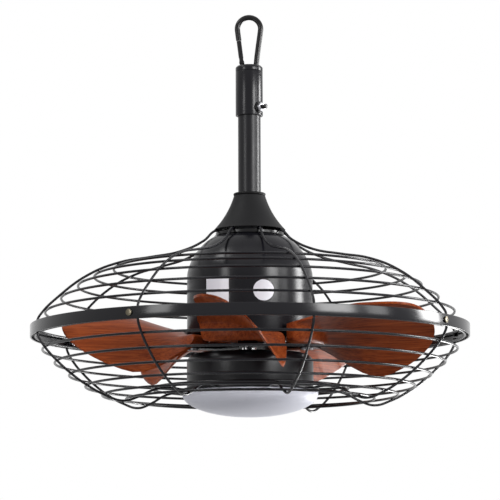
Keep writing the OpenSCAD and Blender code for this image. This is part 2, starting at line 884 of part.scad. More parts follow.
module blade(index) {
    cols = across_steps + 1;
    spots = [for (i = [0 : row_count - 1], j = [0 : across_steps]) blade_spot(i, share_across(j))];
    points = concat(
        [for (p = spots) [p[0], -p[1], blade_top(p[0], p[1])]],
        [for (p = spots) [p[0], -p[1], blade_bottom(p[0], p[1])]]);
    under = len(spots);
    rim = concat(
        [for (j = [0 : across_steps - 1]) j],
        [for (i = [0 : row_count - 2]) i * cols + across_steps],
        [for (j = [across_steps : -1 : 1]) (row_count - 1) * cols + j],
        [for (i = [row_count - 1 : -1 : 1]) i * cols]);
    faces = concat(
        [for (i = [0 : row_count - 2], j = [0 : across_steps - 1])
            each [[i * cols + j, (i + 1) * cols + j, (i + 1) * cols + j + 1],
                [i * cols + j, (i + 1) * cols + j + 1, i * cols + j + 1]]],
        [for (i = [0 : row_count - 2], j = [0 : across_steps - 1])
            each [[under + i * cols + j, under + (i + 1) * cols + j + 1, under + (i + 1) * cols + j],
                [under + i * cols + j, under + i * cols + j + 1, under + (i + 1) * cols + j + 1]]],
        [for (k = [0 : len(rim) - 1])
            let (a = rim[k], b = rim[(k + 1) % len(rim)])
            each [[a, b, under + b], [a, under + b, under + a]]]);
    if (index <= blade_count)
        color(wood)
            rotate([0, 0, blade_turn + (index - 1) * 360 / blade_count])
                polyhedron(points, faces);
}

module blade_1() {
    blade(1);
}

module blade_2() {
    blade(2);
}

module blade_3() {
    blade(3);
}

module blade_4() {
    blade(4);
}

module blade_5() {
    blade(5);
}

// Cage. Each rib has a straight piece on its collar, a curve given as shares of its way out from
// the start and down, and a straight piece behind the hoop.
upper_rib_start = [rib_start_r, collar_top + rib_d / 2 + fit];
upper_rib_end = [rib_end_r, hoop_z + hoop_h / 2 + 0.5];
upper_rib_shares = [[0, 0], [0.068, 0.112], [0.202, 0.233], [0.371, 0.303], [0.544, 0.369],
    [0.721, 0.512], [0.891, 0.757], [0.98, 0.93], [1, 1]];
lower_rib_start = [rib_end_r, hoop_z - hoop_h / 2 - 0.5];
lower_rib_end = [(lower_collar_d + rib_d) / 2 + 0.4, lower_collar_bottom + lower_collar_t / 2];
lower_rib_shares = [[0, 0], [0.007, 0.062], [0.056, 0.272], [0.131, 0.495], [0.232, 0.741],
    [0.346, 0.96], [0.469, 1.135], [0.592, 1.234], [0.699, 1.152], [0.801, 1.022],
    [0.903, 0.972], [1, 1]];
upper_ring_shares = [0.561, 0.6705, 0.7607, 0.8541, 0.9427];
lower_ring_shares = [0.0523, 0.1384, 0.2385, 0.3507, 0.4676, 0.6415, 0.8176];
rib_steps = 3;
rib_sides = 8;
weld_gap = 0.05;

function rib_path(from, to, shares) =
    [for (s = spline(shares, rib_steps))
        [from[0] + (to[0] - from[0]) * s[0], from[1] + (to[1] - from[1]) * s[1]]];

upper_curve = rib_path(upper_rib_start, upper_rib_end, upper_rib_shares);
lower_curve = rib_path(lower_rib_start, lower_rib_end, lower_rib_shares);
upper_rib = concat([upper_rib_start - [2.5 * rib_d, 0]], upper_curve, [[rib_end_r, hoop_z + 1]]);
lower_rib = concat([[rib_end_r, hoop_z - 1]], lower_curve,
    [[lower_collar_d / 2 + fit, lower_rib_end[1]]]);

// Middle of a ring's wire that lies against the inner side of a rib's curve
function ring_spot(path, r, side) =
    let (slope = (lookup(r + 1, path) - lookup(r - 1, path)) / 2,
        lift = (rib_d + ring_d) / 2 + weld_gap)
    [r, lookup(r, path)] + side * lift * [slope, -1] / norm([slope, 1]);

function way_at(path, i) =
    let (v = path[min(i + 1, len(path) - 1)] - path[max(i - 1, 0)])
    v / norm(v);

// A round wire along a path of radius and height, swept towards the front
module swept_wire(path, d, sides) {
    rings = len(path);
    points = [for (i = [0 : rings - 1], j = [0 : sides - 1])
        let (way = way_at(path, i), turn = 360 * j / sides, w = d / 2)
        [w * sin(turn), -path[i][0] + w * cos(turn) * way[1], path[i][1] + w * cos(turn) * way[0]]];
    faces = concat(
        [[for (j = [0 : sides - 1]) j]],
        [for (i = [0 : rings - 2], j = [0 : sides - 1])
            let (a = i * sides + j, b = i * sides + (j + 1) % sides)
            each [[a, a + sides, b + sides], [a, b + sides, b]]],
        [[for (j = [sides - 1 : -1 : 0]) (rings - 1) * sides + j]]);
    polyhedron(points, faces);
}

module wire_ring(spot) {
    rotate_extrude()
        translate(spot)
            circle(d = ring_d);
}

module upper_guard_ribs() {
    color(black)
        around(rib_count, rib_turn)
            swept_wire(upper_rib, rib_d, rib_sides);
}

module lower_guard_ribs() {
    color(black)
        around(rib_count, rib_turn)
            swept_wire(lower_rib, rib_d, rib_sides);
}

rim_ring_r = rib_end_r - (rib_d + ring_d) / 2 - weld_gap;
rim_ring_z = hoop_h / 2 - ring_d / 2 - 0.1;

module upper_guard_rings() {
    color(black) {
        wire_ring([rim_ring_r, hoop_z + rim_ring_z]);
        for (share = upper_ring_shares)
            wire_ring(ring_spot(upper_curve, rib_start_r + (rib_end_r - rib_start_r) * share, 1));
    }
}

module lower_guard_rings() {
    lower_start = turned_back(lower_curve);
    color(black) {
        wire_ring([rim_ring_r, hoop_z - rim_ring_z]);
        for (share = lower_ring_shares)
            wire_ring(ring_spot(lower_start,
                rib_end_r + (lower_rib_end[0] - rib_end_r) * share, -1));
    }
}

module guard_hoop() {
    color(black)
        difference() {
            ring_plate(hoop_d / 2, hoop_in_r, hoop_z + hoop_h / 2, hoop_z - hoop_h / 2);
            hoop_bolt_holes();
        }
}

module at_hoop_bolts() {
    translate([0, 0, hoop_z])
        around(hoop_bolt_count, rib_turn - hoop_bolt_turn)
            children();
}

module hoop_bolt_holes() {
    at_hoop_bolts()
        radial_bar(hoop_in_r / 2, hoop_d, hoop_bolt_d + 2 * hole_play);
}

tab_out_r = hoop_in_r - 0.15;
tab_h = hoop_h - 1;

module hoop_tabs() {
    color(black)
        difference() {
            at_hoop_bolts()
                translate([-tab_w / 2, -tab_out_r, -tab_h / 2])
                    cube([tab_w, tab_t, tab_h]);
            hoop_bolt_holes();
        }
}

hoop_nut_h = 3.2;
hoop_bolt_tail = 1.5;

module hoop_bolts() {
    color(steel)
        at_hoop_bolts()
            union() {
                radial_bar(tab_out_r - tab_t - hoop_nut_h - hoop_bolt_tail, hoop_d / 2 + fit, hoop_bolt_d);
                radial_bar(hoop_d / 2 + fit, hoop_d / 2 + fit + hoop_head_t, hoop_head_d);
            }
}

module hoop_nuts() {
    color(steel)
        at_hoop_bolts()
            difference() {
                translate([0, -tab_out_r + tab_t + fit + hoop_nut_h, 0])
                    rotate([90, 0, 0])
                        rotate([0, 0, 30])
                            cylinder(d = hoop_nut_flats / cos(30), h = hoop_nut_h, $fn = 6);
                radial_bar(hoop_in_r / 2, hoop_in_r, hoop_bolt_d + 2 * fit);
            }
}

module upper_guard_collar() {
    color(black)
        difference() {
            ring_plate(upper_collar_d / 2, yoke_d / 2 + 1, collar_top, cover_top + fit);
            around(3, collar_screw_turn)
                translate([0, -screw_ring_r, cover_top - 1])
                    cylinder(d = collar_screw_d + 2 * hole_play, h = upper_collar_t + 2);
        }
}

module upper_collar_screws() {
    color(steel)
        around(3, collar_screw_turn)
            translate([0, -screw_ring_r, 0])
                union() {
                    translate([0, 0, cover_top - cover_wall - yoke_flange_t])
                        cylinder(d = collar_screw_d,
                            h = upper_collar_t + cover_wall + yoke_flange_t + fit);
                    translate([0, 0, collar_top + fit])
                        cylinder(d = collar_screw_d * 1.9, h = 2.2);
                }
}

// Light
pan_r = pan_d / 2;
ledge_top = ledge_bottom + 2;
ledge_r = pan_r - pan_wall - ledge_w;
pan_screw_r = ledge_r + 4;
pan_screw_d = 3;
plate_screw_turn = 30;
guard_screw_turn = 90;
neck_ring_r = neck_ring_d / 2;
collar_bore_r = neck_ring_r + turn_fit;

function shoulder(r_side, top, round_r) =
    [for (turn = [90 : -10 : 0])
        [r_side - round_r + round_r * cos(turn), top - round_r + round_r * sin(turn)]];

module light_pan() {
    color(black)
        difference() {
            rotate_extrude()
                polygon(concat([[shaft_d / 2 + hole_play, pan_top]],
                    shoulder(pan_r, pan_top, pan_round),
                    [[pan_r, pan_bottom], [pan_r - pan_wall, pan_bottom],
                        [pan_r - pan_wall, ledge_bottom], [ledge_r, ledge_bottom],
                        [ledge_r, ledge_top], [pan_r - pan_wall, ledge_top]],
                    turned_back(shoulder(pan_r - pan_wall, pan_top - pan_wall,
                        max(pan_round - pan_wall, 1))),
                    [[shaft_d / 2 + hole_play, pan_top - pan_wall]]));
            around(6, plate_screw_turn)
                translate([0, -pan_screw_r, ledge_bottom - 1])
                    cylinder(d = pan_screw_d + 2 * fit, h = 4);
        }
}

pan_nut_flats = shaft_d + 7;
pan_nut_h = 6;

module pan_nut() {
    color(steel)
        translate([0, 0, pan_top - pan_wall - fit - pan_nut_h])
            difference() {
                cylinder(d = pan_nut_flats / cos(30), h = pan_nut_h, $fn = 6);
                translate([0, 0, -1])
                    cylinder(d = shaft_d + 2 * fit, h = pan_nut_h + 2);
            }
}

connector_deep = 8;
connector_room = 0.85;
connector_front = screw_rows[0] - blade_screw_d * 0.95 - 4.2;
// Left edge and width of each connector
connector_spots = [[-10, 2.2], [-6.2, 2.2], [2.5, 5.5]];

module light_connector() {
    color(white)
        for (spot = connector_spots)
            translate([spot[0], -connector_front, pan_top + fit])
                cube([spot[1], connector_deep, pan_gap - fit - connector_room]);
}

led_plate_t = 2.5;
led_board_t = 1.4;
lamp_w = 4;
lamp_h = 1;

module led_plate() {
    color(steel)
        difference() {
            ring_plate(pan_r - pan_wall - 0.3, shaft_d / 2, ledge_bottom - fit, ledge_bottom - led_plate_t);
            around(6, plate_screw_turn)
                translate([0, -pan_screw_r, ledge_bottom - 4])
                    cylinder(d = pan_screw_d + 2 * hole_play, h = 5);
        }
}

board_top = ledge_bottom - led_plate_t - fit;

module led_board() {
    color(white) {
        ring_plate(board_d / 2, shaft_d / 2 + 2, board_top, board_top - led_board_t);
        around(lamp_count, 0)
            translate([-lamp_w / 2, lamp_w * 1.5 - board_d / 2, board_top - led_board_t - lamp_h])
                cube([lamp_w, lamp_w, lamp_h + 0.5]);
    }
}

module led_driver() {
    color(white)
        translate([-driver_len / 2, shaft_d / 2 + 3, ledge_bottom])
            cube([driver_len, driver_deep, driver_h]);
}

module led_plate_screws() {
    color(steel)
        around(3, plate_screw_turn)
            translate([0, -pan_screw_r, ledge_bottom - led_plate_t - fit])
                union() {
                    cylinder(d = pan_screw_d, h = ledge_top - ledge_bottom + led_plate_t + fit);
                    translate([0, 0, -1.6])
                        cylinder(d = pan_screw_d * 1.9, h = 1.6);
                }
}

module lower_guard_collar() {
    color(black)
        difference() {
            ring_plate(lower_collar_d / 2, collar_bore_r, pan_bottom - fit, lower_collar_bottom);
            around(3, lug_turn)
                rotate([0, 0, -90 - lug_span / 2 - 2])
                    rotate_extrude(angle = lug_span + 4)
                        translate([collar_bore_r - 2, lower_collar_bottom - 1])
                            square([lug_reach + 2.3, lower_collar_t + 2]);
            around(3, guard_screw_turn)
                translate([0, -pan_screw_r, lower_collar_bottom - 1])
                    cylinder(d = pan_screw_d + 2 * hole_play, h = lower_collar_t + 2);
            around(3, guard_screw_turn)
                translate([0, -pan_screw_r, lower_collar_bottom - 0.01])
                    cylinder(d1 = pan_screw_d * 2 + 2 * hole_play, d2 = pan_screw_d + 2 * hole_play,
                        h = pan_screw_d / 2);
        }
}

module lower_collar_screws() {
    color(steel)
        around(3, guard_screw_turn)
            translate([0, -pan_screw_r, lower_collar_bottom])
                union() {
                    cylinder(d = pan_screw_d, h = ledge_top - lower_collar_bottom);
                    cylinder(d1 = pan_screw_d * 2, d2 = pan_screw_d, h = pan_screw_d / 2);
                }
}

// Diffuser: a bowl, an annular top and a neck whose lugs rest on the lower guard's collar
diffuser_top = lower_collar_bottom - run_gap;
bowl_top = diffuser_top - diffuser_rim;
diffuser_r = lower_collar_d / 2 - diffuser_inset;
bowl_steps = 18;
lug_t = 2.4;

function bowl(inset) =
    [for (i = [0 : bowl_steps])
        let (turn = 90 * i / bowl_steps)
        [(diffuser_r - inset) * cos(turn), bowl_top - (diffuser_h - inset) * sin(turn)]];

module light_diffuser() {
    color(opal)
        union() {
            rotate_extrude()
                polygon(concat(
                    [[neck_ring_r - diffuser_wall, diffuser_top - diffuser_wall],
                        [neck_ring_r - diffuser_wall, pan_bottom + run_gap + lug_t],
                        [neck_ring_r, pan_bottom + run_gap + lug_t],
                        [neck_ring_r, diffuser_top],
                        [diffuser_r, diffuser_top]],
                    bowl(0), turned_back(bowl(diffuser_wall)),
                    [[diffuser_r - diffuser_wall, diffuser_top - diffuser_wall]]));
            around(3, 0)
                rotate([0, 0, -90 - lug_span / 2])
                    rotate_extrude(angle = lug_span)
                        translate([neck_ring_r - diffuser_wall / 2, pan_bottom + run_gap])
                            square([lug_reach + diffuser_wall / 2, lug_t]);
        }
}

hook_frame();
hook_gate();
gate_lug();
gate_rivet();
hanger_cap();
hanger_sleeve();
sleeve_bolt();
sleeve_nut();
sleeve_washer();
downrod();
neck_bead();
neck_cover();
yoke();
yoke_pin();
yoke_set_screws();
motor_cover();
rating_label();
round_label();
control_box();
motor_shaft();
light_leads();
stator_core();
stator_windings();
upper_bearing();
lower_bearing();
rotor_upper_shell();
rotor_lower_shell();
rotor_cage();
flywheel();
blade_1();
blade_2();
blade_3();
blade_4();
blade_5();
blade_screws();
upper_guard_collar();
upper_collar_screws();
upper_guard_ribs();
upper_guard_rings();
guard_hoop();
hoop_tabs();
hoop_bolts();
hoop_nuts();
lower_guard_ribs();
lower_guard_rings();
lower_guard_collar();
lower_collar_screws();
light_pan();
pan_nut();
light_connector();
led_plate();
led_board();
led_driver();
led_plate_screws();
light_diffuser();
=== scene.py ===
"""Looks of a caged outdoor ceiling fan with a light dish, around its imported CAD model.

Lengths are written in millimetres and heights are measured from the hook's inner top, as in the CAD source.
"""

import math

import bmesh
import bpy
from mathutils import Matrix, Vector


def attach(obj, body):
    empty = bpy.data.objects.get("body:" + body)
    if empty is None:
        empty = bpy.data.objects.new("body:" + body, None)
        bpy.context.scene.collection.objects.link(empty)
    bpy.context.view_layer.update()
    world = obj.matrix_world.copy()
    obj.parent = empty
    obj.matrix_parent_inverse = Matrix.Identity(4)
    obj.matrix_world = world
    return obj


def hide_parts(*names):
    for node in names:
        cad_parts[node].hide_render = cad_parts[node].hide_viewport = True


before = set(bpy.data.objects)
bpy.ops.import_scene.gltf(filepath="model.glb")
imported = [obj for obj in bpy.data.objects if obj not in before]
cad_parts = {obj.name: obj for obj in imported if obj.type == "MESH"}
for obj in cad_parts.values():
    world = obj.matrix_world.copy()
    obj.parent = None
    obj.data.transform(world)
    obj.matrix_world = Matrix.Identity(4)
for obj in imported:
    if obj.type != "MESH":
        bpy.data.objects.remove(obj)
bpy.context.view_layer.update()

MM = 0.001
TURN_STEPS = 144
WIRE_SIDES = 16

BODY = "fan_body"
ROTOR = "rotor"
GATE = "gate"
DISH = "diffuser"


# Sizes that pieces share

FIT = 0.05

HOOK_WIRE = 7.0
HOOK_IN_W = 23.0
HOOK_LEG_GAP = 18.0
HOOK_LEG_SET = 6.5
NOSE_LEN = 13.5
CAP_TOP = -60.1
CAP_H = 7.7
CAP_BEVEL = 2.6
CAP_PLUG_H = 8.0
SLEEVE_R = 17.5
ROD_R = 14.5
SLEEVE_TOP = CAP_TOP - CAP_H
SLEEVE_LEN = 58.0

COVER_TOP = -281.8
COVER_H = 128.0
COVER_LOW = COVER_TOP - COVER_H
COLLAR_R = 43.5
COLLAR_T = 4.3
COLLAR_TOP = COVER_TOP + COLLAR_T
HOOP_DROP = 123.0
HOOP_Z = COVER_TOP - HOOP_DROP
HOOP_H = 15.0
HOOP_IN_R = 278.0
HOOP_T = 2.0
FLYWHEEL_DROP = 14.5
FLYWHEEL_TOP = COVER_LOW - FLYWHEEL_DROP
PAN_DROP = 54.0
PAN_LOW = FLYWHEEL_TOP - PAN_DROP
PAN_H = 44.5
PAN_TOP = PAN_LOW + PAN_H
PAN_R = 80.5
PAN_ROUND = 11.0
PAN_WALL = 1.5
PAN_HOLE_R = 6.15
LEDGE_R = 71.0
LEDGE_UP = 10.5
LEDGE_T = 2.0
LOWER_COLLAR_R = 88.0
LOWER_COLLAR_T = 3.0

GUARD_WIRE = 3.2
RIB_COUNT = 8
RIB_TURN = -29
RIB_END_R = HOOP_IN_R - GUARD_WIRE / 2 - FIT

BLADE_COUNT = 5
BLADE_TURN = -2


# Shapes


def sharp_edges(bm, least_angle=28):
    """Edges where two faces meet at more than a small angle."""
    limit = math.radians(least_angle)
    return [e for e in bm.edges if len(e.link_faces) == 2 and e.calc_face_angle(0) > limit]


def round_edges(bm, radius, segments=3, least_angle=28):
    edges = sharp_edges(bm, least_angle)
    if edges:
        bmesh.ops.bevel(
            bm, geom=edges, offset=radius * MM, offset_type="OFFSET", segments=segments,
            profile=0.5, affect="EDGES", material=-1, clamp_overlap=True,
        )


def piece(name, bm, body, material, replaced=(), sharp=50):
    """Makes a finished mesh one piece of the fan, which rides on a body."""
    bmesh.ops.recalc_face_normals(bm, faces=bm.faces[:])
    mesh = bpy.data.meshes.new(name)
    bm.to_mesh(mesh)
    bm.free()
    mesh.shade_smooth()
    mesh.set_sharp_from_angle(angle=math.radians(sharp))
    mesh.materials.append(material)
    obj = bpy.data.objects.new(name, mesh)
    bpy.context.scene.collection.objects.link(obj)
    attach(obj, body)
    if replaced:
        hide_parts(*replaced)
    return obj


def turned(profile, steps=TURN_STEPS):
    """A closed outline of (radius, height), spun about the fan's axis."""
    bm = bmesh.new()
    verts = [bm.verts.new((r * MM, 0, z * MM)) for r, z in profile]
    edges = [bm.edges.new(pair) for pair in zip(verts, verts[1:] + verts[:1])]
    bmesh.ops.spin(
        bm, geom=verts + edges, cent=(0, 0, 0), axis=(0, 0, 1), steps=steps,
        angle=2 * math.pi, use_merge=True,
    )
    bmesh.ops.remove_doubles(bm, verts=bm.verts[:], dist=1e-6)
    bmesh.ops.recalc_face_normals(bm, faces=bm.faces[:])
    return bm


def bent_wires(name, paths, wire, body, material, replaced=(), detail=5):
    """Round wires that run smoothly through their points, as one mesh piece."""
    curve = bpy.data.curves.new(name, "CURVE")
    curve.dimensions = "3D"
    curve.bevel_depth = wire / 2 * MM
    curve.bevel_resolution = WIRE_SIDES // 4
    curve.resolution_u = detail
    curve.use_fill_caps = True
    for path in paths:
        spline = curve.splines.new("BEZIER")
        spline.bezier_points.add(len(path) - 1)
        for point, place in zip(spline.bezier_points, path):
            point.co = Vector(place) * MM
            point.handle_left_type = point.handle_right_type = "AUTO"
    helper = bpy.data.objects.new(name + "_path", curve)
    bpy.context.scene.collection.objects.link(helper)
    bpy.context.view_layer.update()
    bm = bmesh.new()
    bm.from_mesh(helper.to_mesh())
    helper.to_mesh_clear()
    bpy.data.objects.remove(helper)
    bpy.data.curves.remove(curve)
    bmesh.ops.remove_doubles(bm, verts=bm.verts[:], dist=1e-6)
    return piece(name, bm, body, material, replaced)


def rounded_copy(name, node, body, material, edge, segments=3, least_angle=28):
    """A merged copy of a CAD node's mesh with its sharp edges rounded."""
    bm = bmesh.new()
    bm.from_mesh(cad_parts[node].data)
    bmesh.ops.remove_doubles(bm, verts=bm.verts[:], dist=1e-6)
    bmesh.ops.dissolve_limit(
        bm, angle_limit=math.radians(1), verts=bm.verts[:], edges=bm.edges[:],
        use_dissolve_boundaries=False,
    )
    round_edges(bm, edge, segments, least_angle)
    return piece(name, bm, body, material, [node])


def polar(radius, azimuth, z):
    """A point at an azimuth counted from the front, -Y, towards +X."""
    turn = math.radians(azimuth)
    return (radius * math.sin(turn), -radius * math.cos(turn), z)


# Finishes


def new_group(name, inputs, outputs):
    tree = bpy.data.node_groups.new(name, "ShaderNodeTree")
    for label, kind, value in inputs:
        socket = tree.interface.new_socket(label, in_out="INPUT", socket_type=kind)
        if value is not None:
            socket.default_value = value
    for label, kind in outputs:
        tree.interface.new_socket(label, in_out="OUTPUT", socket_type=kind)
    return tree, tree.nodes.new("NodeGroupInput"), tree.nodes.new("NodeGroupOutput")


def colour(*rgb):
    """A colour given as it looks on a screen, 0 to 255, turned into the linear values of a shader."""
    linear = []
    for value in rgb:
        share = value / 255
        linear.append(share / 12.92 if share <= 0.04045 else ((share + 0.055) / 1.055) ** 2.4)
    return (*linear, 1.0)


def noise(tree, vector, scale, detail=3.0, roughness=0.5, distortion=0.0):
    node = tree.nodes.new("ShaderNodeTexNoise")
    node.inputs["Scale"].default_value = scale
    node.inputs["Detail"].default_value = detail
    node.inputs["Roughness"].default_value = roughness
    node.inputs["Distortion"].default_value = distortion
    tree.links.new(vector, node.inputs["Vector"])
    return node.outputs["Fac"]


def stretched(tree, vector, scale):
    """Coordinates squeezed by a factor along each axis."""
    node = tree.nodes.new("ShaderNodeMapping")
    node.inputs["Scale"].default_value = scale
    tree.links.new(vector, node.inputs["Vector"])
    return node.outputs["Vector"]


def ramp(tree, fac, stops):
    node = tree.nodes.new("ShaderNodeValToRGB")
    while len(node.color_ramp.elements) < len(stops):
        node.color_ramp.elements.new(0.5)
    for element, (place, value) in zip(node.color_ramp.elements, stops):
        element.position = place
        element.color = value
    tree.links.new(fac, node.inputs["Fac"])
    return node.outputs["Color"]


def map_range(tree, value, low, high, to_low, to_high):
    node = tree.nodes.new("ShaderNodeMapRange")
    for label, given in (("From Min", low), ("From Max", high), ("To Min", to_low), ("To Max", to_high)):
        if isinstance(given, (int, float)):
            node.inputs[label].default_value = given
        else:
            tree.links.new(given, node.inputs[label])
    tree.links.new(value, node.inputs["Value"])
    return node.outputs["Result"]


def blend_colours(tree, fac, first, second, how="MIX"):
    node = tree.nodes.new("ShaderNodeMix")
    node.data_type = "RGBA"
    node.blend_type = how
    for label, value in (("Factor", fac), ("A", first), ("B", second)):
        socket = [s for s in node.inputs if s.name == label and s.enabled][0]
        if isinstance(value, (int, float, tuple)):
            socket.default_value = value
        else:
            tree.links.new(value, socket)
    return [s for s in node.outputs if s.enabled][0]


def make_coat_group():
    """Fine orange-peel of a baked coat, with faint wide clouds in its gloss and tone."""
    tree, given, put = new_group(
        "baked_coat",
        [("Vector", "NodeSocketVector", None), ("Base", "NodeSocketColor", (0.02, 0.02, 0.02, 1)),
         ("Light", "NodeSocketColor", (0.04, 0.04, 0.04, 1)), ("Gloss Low", "NodeSocketFloat", 0.35),
         ("Gloss High", "NodeSocketFloat", 0.45)],
        [("Color", "NodeSocketColor"), ("Roughness", "NodeSocketFloat"), ("Height", "NodeSocketFloat")],
    )
    clouds = noise(tree, given.outputs["Vector"], 14, 4)
    peel = noise(tree, given.outputs["Vector"], 900, 2)
    gloss = map_range(tree, clouds, 0.3, 0.7, given.outputs["Gloss Low"], given.outputs["Gloss High"])
    tone = blend_colours(tree, clouds, given.outputs["Base"], given.outputs["Light"])
    tree.links.new(tone, put.inputs["Color"])
    tree.links.new(gloss, put.inputs["Roughness"])
    tree.links.new(peel, put.inputs["Height"])
    return tree


def make_grain_group():
    """Wood grain along X: wavy bands, long fine lines, short pores and a cloudy tone."""
    tree, given, put = new_group(
        "wood_grain",
        [("Vector", "NodeSocketVector", None)],
        [("Color", "NodeSocketColor"), ("Roughness", "NodeSocketFloat"), ("Height", "NodeSocketFloat")],
    )
    along = stretched(tree, given.outputs["Vector"], (1.0, 26.0, 26.0))
    bands = noise(tree, along, 6.5, 6, 0.7, 0.35)
    lines = noise(tree, along, 24, 3, 0.6)
    pores = noise(tree, stretched(tree, given.outputs["Vector"], (6.0, 60.0, 60.0)), 22, 2, 0.6)
    clouds = noise(tree, given.outputs["Vector"], 8, 2)
    base = ramp(tree, bands, [
        (0.30, colour(108, 47, 19)), (0.44, colour(138, 63, 29)),
        (0.56, colour(154, 75, 36)), (0.72, colour(171, 87, 44)),
    ])
    dark_lines = ramp(tree, lines, [(0.34, colour(172, 144, 130)), (0.54, colour(255, 255, 255))])
    dark_pores = ramp(tree, pores, [(0.30, colour(150, 120, 108)), (0.42, colour(255, 255, 255))])
    wide = ramp(tree, clouds, [(0.3, colour(218, 208, 202)), (0.7, colour(255, 255, 255))])
    toned = blend_colours(tree, 0.8, base, dark_lines, "MULTIPLY")
    toned = blend_colours(tree, 0.5, toned, dark_pores, "MULTIPLY")
    toned = blend_colours(tree, 0.6, toned, wide, "MULTIPLY")
    tree.links.new(toned, put.inputs["Color"])
    tree.links.new(map_range(tree, bands, 0.3, 0.7, 0.36, 0.28), put.inputs["Roughness"])
    tree.links.new(lines, put.inputs["Height"])
    return tree


COAT = make_coat_group()
GRAIN = make_grain_group()


def start_material(name):
    material = bpy.data.materials.new(name)
    material.use_nodes = True
    tree = material.node_tree
    shader = tree.nodes["Principled BSDF"]
    place = tree.nodes.new("ShaderNodeTexCoord").outputs["Object"]
    return material, tree, shader, place


def add_bump(tree, shader, height, strength, distance):
    bump = tree.nodes.new("ShaderNodeBump")
    bump.inputs["Strength"].default_value = strength
    bump.inputs["Distance"].default_value = distance
    tree.links.new(height, bump.inputs["Height"])
    tree.links.new(bump.outputs["Normal"], shader.inputs["Normal"])


def coated(name, base, light, gloss, metallic=0.0, coat=0.0, bump=0.15, specular=0.5):
    """A surface with a baked or moulded skin."""
    material, tree, shader, place = start_material(name)
    group = tree.nodes.new("ShaderNodeGroup")
    group.node_tree = COAT
    tree.links.new(place, group.inputs["Vector"])
    group.inputs["Base"].default_value = base
    group.inputs["Light"].default_value = light
    group.inputs["Gloss Low"].default_value = gloss[0]
    group.inputs["Gloss High"].default_value = gloss[1]
    tree.links.new(group.outputs["Color"], shader.inputs["Base Color"])
    tree.links.new(group.outputs["Roughness"], shader.inputs["Roughness"])
    shader.inputs["Metallic"].default_value = metallic
    shader.inputs["Coat Weight"].default_value = coat
    shader.inputs["Coat Roughness"].default_value = 0.12
    shader.inputs["Specular IOR Level"].default_value = specular
    add_bump(tree, shader, group.outputs["Height"], bump, 0.0002)
    return material


def grained(name, azimuth):
    """Lacquered wood whose grain runs out along a blade at this azimuth."""
    material, tree, shader, place = start_material(name)
    turn = tree.nodes.new("ShaderNodeMapping")
    turn.inputs["Rotation"].default_value = (0.0, 0.0, math.radians(90 - azimuth))
    tree.links.new(place, turn.inputs["Vector"])
    group = tree.nodes.new("ShaderNodeGroup")
    group.node_tree = GRAIN
    tree.links.new(turn.outputs["Vector"], group.inputs["Vector"])
    tree.links.new(group.outputs["Color"], shader.inputs["Base Color"])
    tree.links.new(group.outputs["Roughness"], shader.inputs["Roughness"])
    shader.inputs["Specular IOR Level"].default_value = 0.08
    add_bump(tree, shader, group.outputs["Height"], 0.10, 0.0002)
    return material


BLACK = coated(
    "satin_black_coat", colour(8, 8, 12), colour(12, 11, 17), (0.22, 0.28), bump=0.04, specular=0.2,
)
BAND_BLACK = coated(
    "hoop_black_coat", colour(8, 8, 12), colour(12, 11, 17), (0.13, 0.18), bump=0.03, specular=0.24,
)
ROD_BLACK = coated(
    "rod_black_coat", colour(10, 10, 13), colour(15, 14, 18), (0.32, 0.4), bump=0.04, specular=0.2,
)
PAN_BLACK = coated(
    "pan_black_coat", colour(8, 8, 11), colour(12, 11, 15), (0.28, 0.34), bump=0.03, specular=0.2,
)
MATT_BLACK = coated(
    "matt_black_coat", colour(21, 21, 22), colour(26, 26, 27), (0.5, 0.6), bump=0.1, specular=0.1,
)
BLACK_GLOSS = coated(
    "black_hook_coat", colour(9, 9, 10), colour(14, 13, 15), (0.22, 0.3), bump=0.03, specular=0.2,
)
RUBBER = coated("black_rubber", colour(10, 10, 11), colour(16, 16, 17), (0.45, 0.55), specular=0.1)
STEEL = coated("zinc_steel", colour(150, 150, 154), colour(170, 170, 174), (0.25, 0.38), metallic=1.0)
BRONZE = coated("bronze_head", colour(78, 74, 64), colour(96, 90, 76), (0.25, 0.38), metallic=1.0)
CAST = coated("cast_grey", colour(78, 78, 82), colour(92, 92, 95), (0.45, 0.6), metallic=0.9, bump=0.5)
ALUMINIUM = coated("mill_aluminium", colour(190, 192, 196), colour(205, 206, 208), (0.35, 0.48), metallic=1.0)
COPPER = coated("winding_copper", colour(176, 98, 56), colour(196, 116, 70), (0.3, 0.42), metallic=0.9)
WHITE_FILM = coated("white_film", colour(208, 208, 216), colour(216, 216, 224), (0.32, 0.42), bump=0.05)
TERMINAL = coated(
    "bright_terminal", colour(240, 240, 241), colour(246, 246, 247), (0.08, 0.12), metallic=1.0,
    bump=0.03,
)
WHITE_PLASTIC = coated("white_moulding", colour(226, 226, 228), colour(232, 232, 233), (0.42, 0.52))
OPAL = coated(
    "opal_dish", colour(231, 232, 244), colour(235, 236, 246), (0.3, 0.38), bump=0.03, specular=0.04,
)


# Camera and light

WORLD_FILL = 0.12
MIDDLE = (0, 0, -0.36)

camera_data = bpy.data.cameras.new("camera")
camera_data.lens = 215.06
camera_data.sensor_width = 36
camera_data.clip_end = 50
camera = bpy.data.objects.new("camera", camera_data)
camera.matrix_world = (
    Matrix.Translation((0.00035, -3.791, -0.7872))
    @ Matrix.Rotation(math.radians(97.333), 4, "X")
    @ Matrix.Rotation(math.radians(-0.193), 4, "Z")
)
bpy.context.scene.collection.objects.link(camera)
bpy.context.scene.camera = camera


def soft_lamp(name, azimuth, distance, height, width, tall, power):
    """A soft box that faces the fan, at an azimuth, a distance and a height. Lengths are in metres."""
    data = bpy.data.lights.new(name, "AREA")
    data.shape = "RECTANGLE"
    data.size = width
    data.size_y = tall
    data.energy = power
    lamp = bpy.data.objects.new(name, data)
    lamp.location = polar(distance, azimuth, height)
    lamp.rotation_euler = (Vector(MIDDLE) - lamp.location).to_track_quat("-Z", "Y").to_euler()
    bpy.context.scene.collection.objects.link(lamp)


